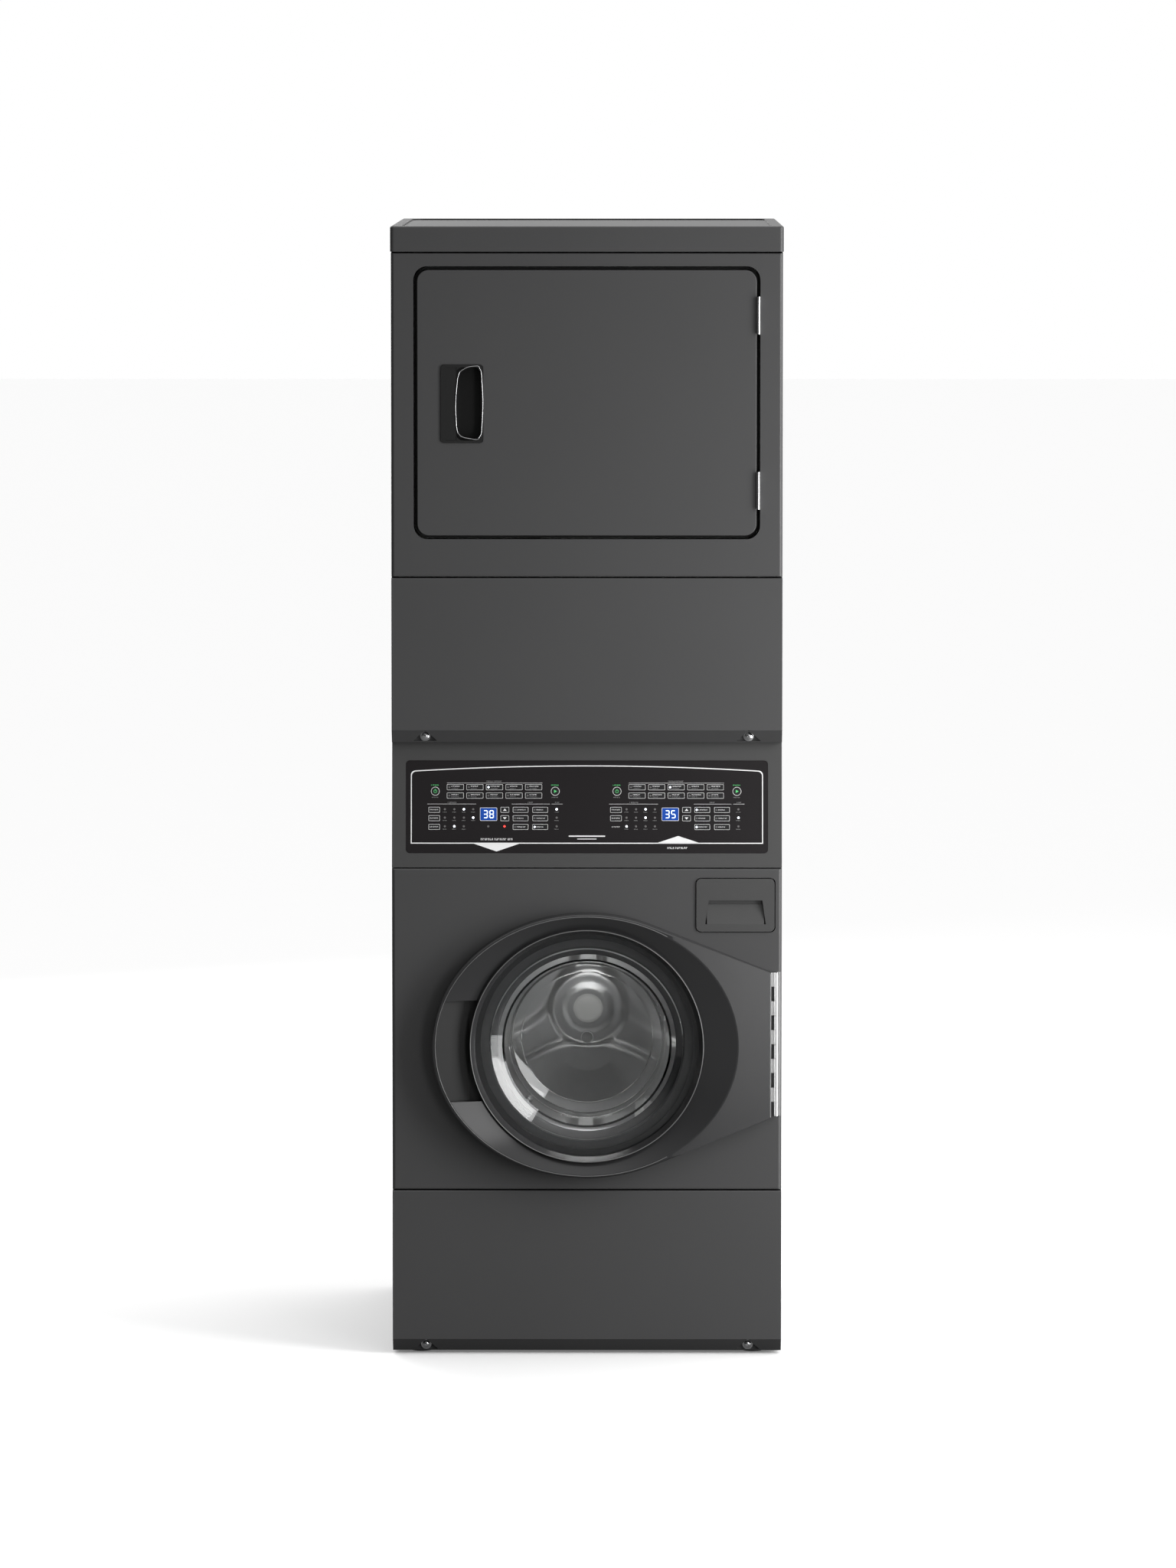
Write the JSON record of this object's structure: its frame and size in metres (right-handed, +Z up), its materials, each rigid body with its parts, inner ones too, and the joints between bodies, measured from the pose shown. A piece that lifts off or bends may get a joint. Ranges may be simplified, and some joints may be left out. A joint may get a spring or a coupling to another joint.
{
  "type": "washer dryer stack",
  "caption": "Front-loading washer with an oval hinged door, a sloped control console and a vented tumble dryer with a wide flush door stacked above it.",
  "frame": {"origin": "on the floor at the middle of the footprint", "axes": "+X to the right as seen from the front, +Y towards the back, +Z up; the doors face -Y"},
  "size_m": [0.6856, 0.784, 1.984],
  "materials": {
    "charcoal_paint": "dark charcoal powder coat, satin",
    "inner_steel": "zinc-coated sheet",
    "stainless": "brushed stainless steel",
    "bright_hardware": "bright plated steel",
    "console_plastic": "charcoal moulding, fine texture",
    "overlay_film": "near-black printed film, semi-gloss",
    "door_plastic": "dark grey moulding, smooth satin",
    "grip_plastic": "black moulding, satin",
    "clear_glass": "clear moulded glass",
    "grey_rubber": "grey moulded rubber",
    "black_rubber": "black rubber",
    "tub_plastic": "off-white filled polypropylene",
    "white_plastic": "white moulding",
    "concrete": "cast concrete",
    "motor_metal": "dark motor laminations and end bells",
    "cast_aluminium": "die cast",
    "brass_fitting": "turned brass",
    "circuit_board": "green laminate",
    "drum_coat": "pale enamelled steel"
  },
  "bodies": {
    "cabinet": {"base_frame": "inner_steel", "leveling_feet": "black_rubber", "washer_cabinet": "charcoal_paint", "washer_front_panel": "charcoal_paint", "washer_lower_panel": "charcoal_paint", "access_panel_screws": "bright_hardware", "washer_hinge_leaf": "stainless", "dispenser_housing": "white_plastic", "washer_door_lock": "grip_plastic", "inlet_valves": "brass_fitting", "drain_pump": "white_plastic", "damper_cylinders": "inner_steel", "suspension_springs": "bright_hardware", "door_gasket": "grey_rubber", "control_console": "console_plastic", "control_overlay": "overlay_film", "control_board": "circuit_board", "terminal_cover": "inner_steel", "dryer_cabinet": "charcoal_paint", "dryer_top_panel": "charcoal_paint", "dryer_front_panel": "charcoal_paint", "dryer_lower_panel": "charcoal_paint", "dryer_base_pan": "inner_steel", "dryer_front_bulkhead": "drum_coat", "dryer_rear_bulkhead": "inner_steel", "heater_duct": "inner_steel", "exhaust_duct": "inner_steel", "blower_housing": "white_plastic", "dryer_motor": "motor_metal", "dryer_belt": "black_rubber", "dryer_hinge_leaves": "bright_hardware"},
    "tub": {"outer_tub_front": "tub_plastic", "outer_tub_rear": "tub_plastic", "tub_counterweight": "concrete", "wash_motor": "motor_metal", "damper_rods": "bright_hardware", "wash_belt": "black_rubber"},
    "wash_basket": {"wash_drum": "stainless", "wash_drum_baffles": "white_plastic", "drum_spider": "cast_aluminium", "drum_pulley": "cast_aluminium"},
    "wash_rotor": {"wash_motor_pulley": "bright_hardware"},
    "washer_door": {"washer_door_frame": "door_plastic", "washer_door_bezel": "door_plastic", "washer_door_glass": "clear_glass", "washer_door_handle": "grip_plastic", "washer_door_hook": "bright_hardware", "washer_door_hinge_leaf": "stainless"},
    "drawer": {"drawer_front": "console_plastic", "drawer_tray": "white_plastic"},
    "dryer_basket": {"dryer_drum": "drum_coat", "dryer_baffles": "white_plastic"},
    "blower": {"blower_wheel": "white_plastic"},
    "tension_arm": {"idler_arm": "inner_steel"},
    "idler": {"idler_pulley": "grip_plastic"},
    "dryer_door": {"dryer_door_outer": "charcoal_paint", "dryer_door_inner": "drum_coat", "dryer_door_handle": "grip_plastic", "dryer_door_hinge_leaves": "bright_hardware"},
    "filter": {"lint_filter": "white_plastic"}
  },
  "joints": [
    {"name": "tub_bounce", "type": "slide", "parent": "cabinet", "child": "tub", "axis": [0, 0, 1], "range_m": [-0.01, 0.01], "stiffness_N_per_m": 16000, "springref_m": 0.0285, "deforming": ["suspension_springs", "door_gasket"]},
    {"name": "wash_spin", "type": "hinge", "parent": "tub", "child": "wash_basket", "pos_m": [0, 0, 0.552], "axis": [0, 1, 0], "continuous": true},
    {"name": "wash_motor_spin", "type": "hinge", "parent": "tub", "child": "wash_rotor", "pos_m": [0, 0, 0.172], "axis": [0, 1, 0], "continuous": true},
    {"name": "washer_door_hinge", "type": "hinge", "parent": "cabinet", "child": "washer_door", "pos_m": [0.3317, -0.357, 0.552], "axis": [0, 0, 1], "range_deg": [0, 160]},
    {"name": "drawer_slide", "type": "slide", "parent": "cabinet", "child": "drawer", "axis": [0, -1, 0], "range_m": [0, 0.17]},
    {"name": "dryer_spin", "type": "hinge", "parent": "cabinet", "child": "dryer_basket", "pos_m": [0, 0, 1.612], "axis": [0, 1, 0], "continuous": true},
    {"name": "blower_spin", "type": "hinge", "parent": "cabinet", "child": "blower", "pos_m": [-0.13, 0, 1.193], "axis": [0, 1, 0], "continuous": true},
    {"name": "tension_arm_swing", "type": "hinge", "parent": "cabinet", "child": "tension_arm", "pos_m": [-0.06, 0, 1.13], "axis": [0, 1, 0], "range_deg": [-3, 3], "stiffness_Nm_per_rad": 40, "deforming": ["dryer_belt"]},
    {"name": "idler_spin", "type": "hinge", "parent": "tension_arm", "child": "idler", "pos_m": [-0.02, 0, 1.232], "axis": [0, 1, 0], "continuous": true},
    {"name": "dryer_door_hinge", "type": "hinge", "parent": "cabinet", "child": "dryer_door", "pos_m": [0.2988, -0.356, 1.6764], "axis": [0, 0, 1], "range_deg": [0, 165]},
    {"name": "filter_lift", "type": "slide", "parent": "cabinet", "child": "filter", "axis": [0, 0, 1], "range_m": [0, 0.15]}
  ],
  "couplings": [
    {"joint": "wash_motor_spin", "follows": "wash_spin", "ratio": 8.9747},
    {"joint": "blower_spin", "follows": "dryer_spin", "ratio": 19.608},
    {"joint": "idler_spin", "follows": "dryer_spin", "ratio": 14.211}
  ]
}
